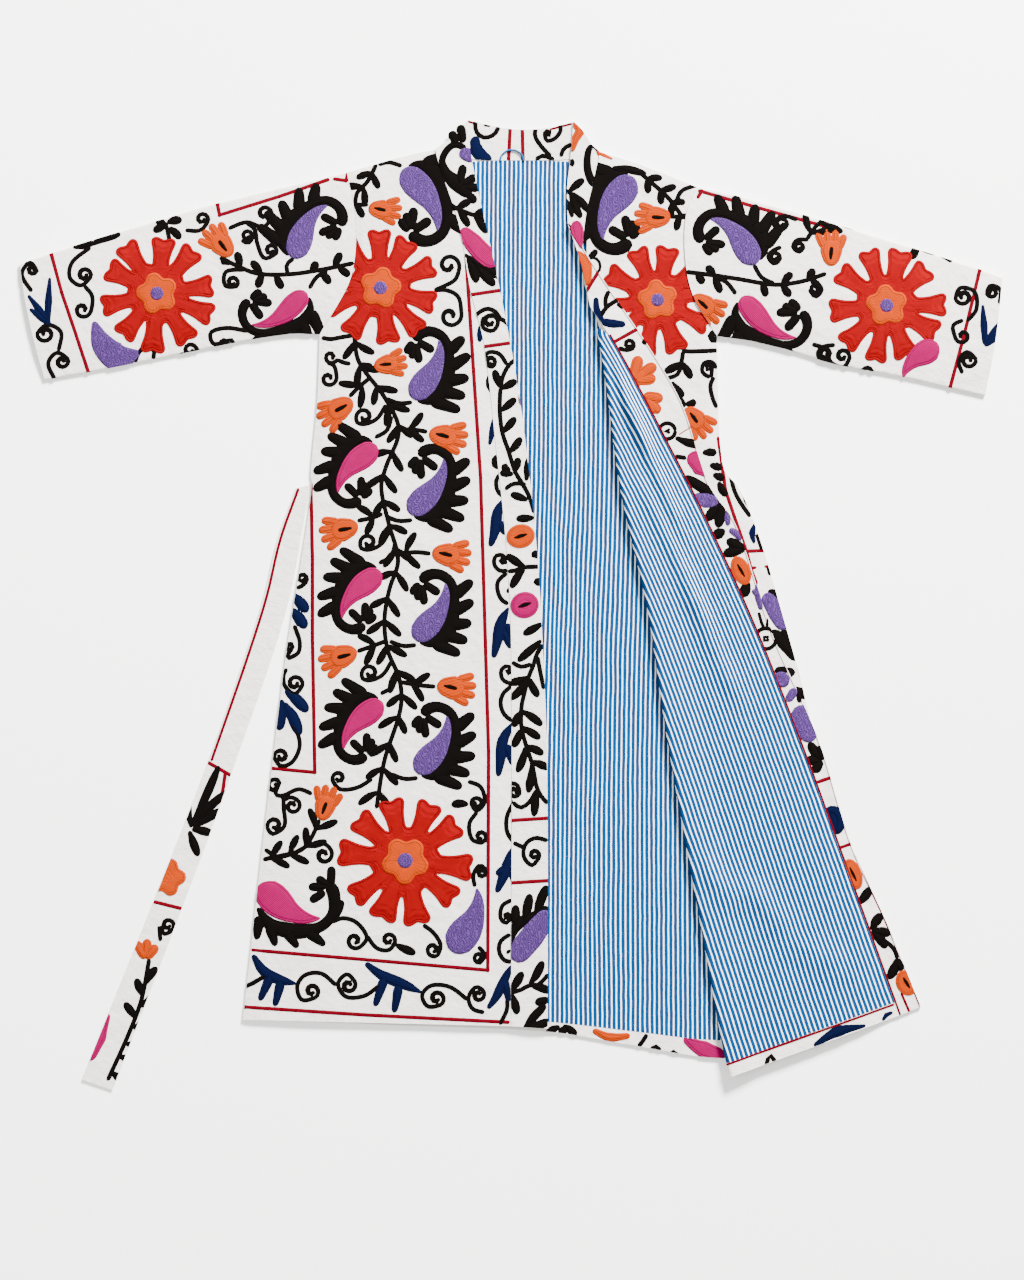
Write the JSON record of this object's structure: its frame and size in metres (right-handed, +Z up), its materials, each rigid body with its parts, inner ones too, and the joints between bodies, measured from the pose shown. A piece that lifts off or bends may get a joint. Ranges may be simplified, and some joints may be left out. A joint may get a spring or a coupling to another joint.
{
  "type": "coat",
  "caption": "Long embroidered coat laid flat, front up, with its left front turned back over a striped lining and a narrow belt sewn into the right side seam.",
  "frame": {"origin": "centre of the laid coat's outline, on the surface that it lies on", "axes": "+Z up from the surface through the cloth, +Y towards the collar, +X towards the wearer's left sleeve"},
  "size_m": [1.228, 1.212, 0.0173],
  "materials": {
    "shell": "off-white plain cotton with chain-stitch embroidery in wool and silk thread",
    "border": "doubled off-white cotton with embroidery",
    "lining": "smooth cotton with narrow blue and white stripes",
    "loop": "blue sewn tube"
  },
  "bodies": {
    "root": {"back": "shell", "back_lining": "lining", "hem_facing_back": "border", "neck_band": "border", "front_right": "shell", "band_right": "border", "front_left": "shell", "lining_front_left": "lining", "hem_facing_left": "border", "band_left": "border", "facing_left": "border", "sleeve_right": "shell", "sleeve_left": "shell", "belt": "border", "hanger_loop": "loop"}
  },
  "joints": []
}
